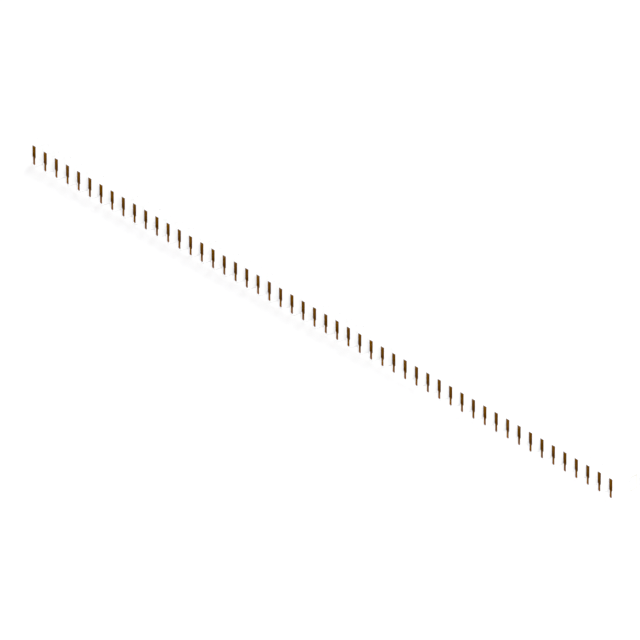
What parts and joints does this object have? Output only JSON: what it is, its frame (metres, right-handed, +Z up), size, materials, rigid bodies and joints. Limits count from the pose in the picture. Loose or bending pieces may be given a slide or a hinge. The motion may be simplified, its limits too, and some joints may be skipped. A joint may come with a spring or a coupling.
{
  "type": "gear rack on a slide rail",
  "caption": "Straight white gear rack lying on its side, with a dark bronze key in each tooth tip, sliding in a white guide rail behind it.",
  "frame": {"origin": "middle of the assembly's bounding box, on the surface the rail stands on", "axes": "+X along the rack, -Y out of the teeth towards the pinion, +Z up"},
  "size_m": [0.3268, 0.0126, 0.01],
  "materials": {
    "white_acetal": "satin, machined",
    "dark_bronze": "dark, heat-toned bronze",
    "black_steel": "black oxide",
    "white_coating": "white powder coat",
    "liner": "low-friction polymer"
  },
  "bodies": {
    "rail": {"guide_rail": "white_coating", "slide_liner": "liner", "stop_screw": "black_steel"},
    "rack": {"rack_teeth": "white_acetal", "rack_web": "white_acetal", "carrier_bar": "white_coating", "bar_screws": "black_steel", "tooth_key_01": "dark_bronze", "tooth_key_02": "dark_bronze", "tooth_key_03": "dark_bronze", "tooth_key_04": "dark_bronze", "tooth_key_05": "dark_bronze", "tooth_key_06": "dark_bronze", "tooth_key_07": "dark_bronze", "tooth_key_08": "dark_bronze", "tooth_key_09": "dark_bronze", "tooth_key_10": "dark_bronze", "tooth_key_11": "dark_bronze", "tooth_key_12": "dark_bronze", "tooth_key_13": "dark_bronze", "tooth_key_14": "dark_bronze", "tooth_key_15": "dark_bronze", "tooth_key_16": "dark_bronze", "tooth_key_17": "dark_bronze", "tooth_key_18": "dark_bronze", "tooth_key_19": "dark_bronze", "tooth_key_20": "dark_bronze", "tooth_key_21": "dark_bronze", "tooth_key_22": "dark_bronze", "tooth_key_23": "dark_bronze", "tooth_key_24": "dark_bronze", "tooth_key_25": "dark_bronze", "tooth_key_26": "dark_bronze", "tooth_key_27": "dark_bronze", "tooth_key_28": "dark_bronze", "tooth_key_29": "dark_bronze", "tooth_key_30": "dark_bronze", "tooth_key_31": "dark_bronze", "tooth_key_32": "dark_bronze", "tooth_key_33": "dark_bronze", "tooth_key_34": "dark_bronze", "tooth_key_35": "dark_bronze", "tooth_key_36": "dark_bronze", "tooth_key_37": "dark_bronze", "tooth_key_38": "dark_bronze", "tooth_key_39": "dark_bronze", "tooth_key_40": "dark_bronze", "tooth_key_41": "dark_bronze", "tooth_key_42": "dark_bronze", "tooth_key_43": "dark_bronze", "tooth_key_44": "dark_bronze", "tooth_key_45": "dark_bronze", "tooth_key_46": "dark_bronze", "tooth_key_47": "dark_bronze", "tooth_key_48": "dark_bronze", "tooth_key_49": "dark_bronze", "tooth_key_50": "dark_bronze", "tooth_key_51": "dark_bronze", "tooth_key_52": "dark_bronze"}
  },
  "joints": [
    {"name": "rack_slide", "type": "slide", "parent": "rail", "child": "rack", "axis": [1, 0, 0], "range_m": [-0.06, 0.06]}
  ]
}
